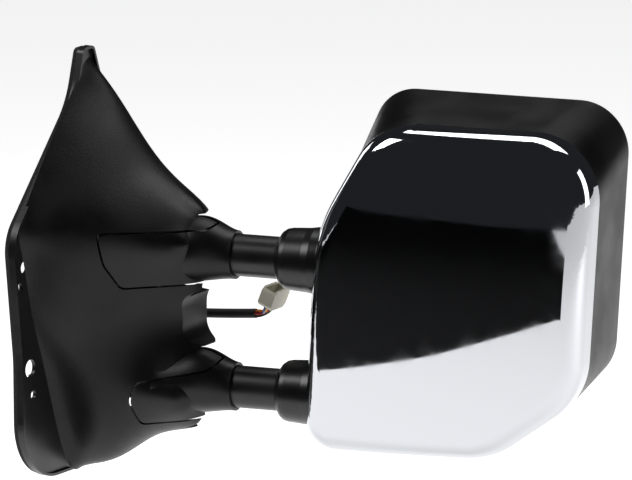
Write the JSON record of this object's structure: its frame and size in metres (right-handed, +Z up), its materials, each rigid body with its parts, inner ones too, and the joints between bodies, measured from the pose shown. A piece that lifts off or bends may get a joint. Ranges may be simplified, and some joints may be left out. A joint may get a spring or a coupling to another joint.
{
  "type": "car side mirror",
  "caption": "Telescoping towing door mirror: sail-shaped base, folding twin arms, sliding head with bright cap, heated main glass and convex spotter glass.",
  "frame": {"origin": "middle of the four door studs, on the gasket's mounting face", "axes": "+X outboard from the door, +Y rearward, +Z up"},
  "size_m": [0.5152, 0.2172, 0.3467],
  "materials": {
    "textured_black": "fine grained",
    "satin_black": "satin",
    "chrome": "bright plated",
    "coated_steel": "satin powder coat",
    "zinc_steel": "zinc plated",
    "cast_alloy": "as cast",
    "bush_plastic": "moulded acetal",
    "rubber": "matte",
    "foam": "closed-cell foam",
    "mirror": "silvered",
    "heater_film": "printed film",
    "wire": "coloured wire insulation",
    "plug_plastic": "moulded nylon",
    "motor_steel": "drawn steel can"
  },
  "bodies": {
    "base": {"base_gasket": "foam", "base_plate": "coated_steel", "base_shell": "textured_black", "mount_studs": "zinc_steel", "shell_screws": "zinc_steel", "hinge_bracket": "coated_steel", "bracket_bolts": "zinc_steel", "fold_pin": "zinc_steel", "pivot_washers": "zinc_steel", "disc_springs": "zinc_steel", "pin_nut": "zinc_steel", "harness_grommet": "rubber", "harness_clip": "satin_black", "harness_cable": "rubber", "harness_wires": "wire", "harness_connector": "plug_plastic"},
    "arms": {"upper_arm_bracket": "cast_alloy", "lower_arm_bracket": "cast_alloy", "pivot_bushes": "bush_plastic", "tube_cross_pins": "zinc_steel", "arm_tie": "coated_steel", "upper_arm_cover": "satin_black", "lower_arm_cover": "satin_black", "upper_rear_cover": "satin_black", "lower_rear_cover": "satin_black", "upper_tube": "coated_steel", "lower_tube": "coated_steel", "tube_end_stops": "bush_plastic"},
    "head": {"chrome_cap": "chrome", "front_housing": "satin_black", "rear_housing": "satin_black", "housing_screws": "zinc_steel", "upper_collar": "satin_black", "lower_collar": "satin_black", "head_frame": "cast_alloy", "slide_bushes": "bush_plastic", "glass_bezel": "satin_black", "ball_post": "bush_plastic", "spot_ball_post": "bush_plastic", "actuator_case": "satin_black", "drive_wheels": "bush_plastic", "pan_motor": "motor_steel", "tilt_motor": "motor_steel"},
    "pan_ring": {"gimbal_ring": "bush_plastic"},
    "glass": {"glass_backing": "satin_black", "heater_pad": "heater_film", "main_glass": "mirror"},
    "spot_ring": {"spot_gimbal": "bush_plastic"},
    "spot_glass": {"spot_backing": "satin_black", "spotter_glass": "mirror"},
    "pan_drive": {"pan_jackscrew": "bush_plastic"},
    "tilt_drive": {"tilt_jackscrew": "bush_plastic"}
  },
  "joints": [
    {"name": "fold", "type": "hinge", "parent": "base", "child": "arms", "pos_m": [0.05, -0.01, 0], "axis": [0, 0, 1], "range_deg": [0, 70]},
    {"name": "extend", "type": "slide", "parent": "arms", "child": "head", "axis": [0.9848, 0.1736, 0], "range_m": [0, 0.085]},
    {"name": "glass_pan", "type": "hinge", "parent": "head", "child": "pan_ring", "pos_m": [0.33369, 0.08572, 0.07], "axis": [0, 0, 1], "range_deg": [-7, 7]},
    {"name": "glass_tilt", "type": "hinge", "parent": "pan_ring", "child": "glass", "pos_m": [0.33369, 0.08572, 0.07], "axis": [0.9848, 0.1736, 0], "range_deg": [-7, 7]},
    {"name": "pan_screw", "type": "slide", "parent": "head", "child": "pan_drive", "axis": [-0.1736, 0.9848, 0], "range_m": [-0.0034, 0.0034]},
    {"name": "tilt_screw", "type": "slide", "parent": "head", "child": "tilt_drive", "axis": [-0.1736, 0.9848, 0], "range_m": [-0.0034, 0.0034]},
    {"name": "spot_pan", "type": "hinge", "parent": "head", "child": "spot_ring", "pos_m": [0.30611, 0.08085, -0.068], "axis": [0, 0, 1], "range_deg": [-7, 7]},
    {"name": "spot_tilt", "type": "hinge", "parent": "spot_ring", "child": "spot_glass", "pos_m": [0.30611, 0.08085, -0.068], "axis": [0.9848, 0.1736, 0], "range_deg": [-7, 7]}
  ],
  "couplings": [
    {"joint": "pan_screw", "follows": "glass_pan", "m_per_rad": 0.026},
    {"joint": "tilt_screw", "follows": "glass_tilt", "m_per_rad": -0.026}
  ]
}
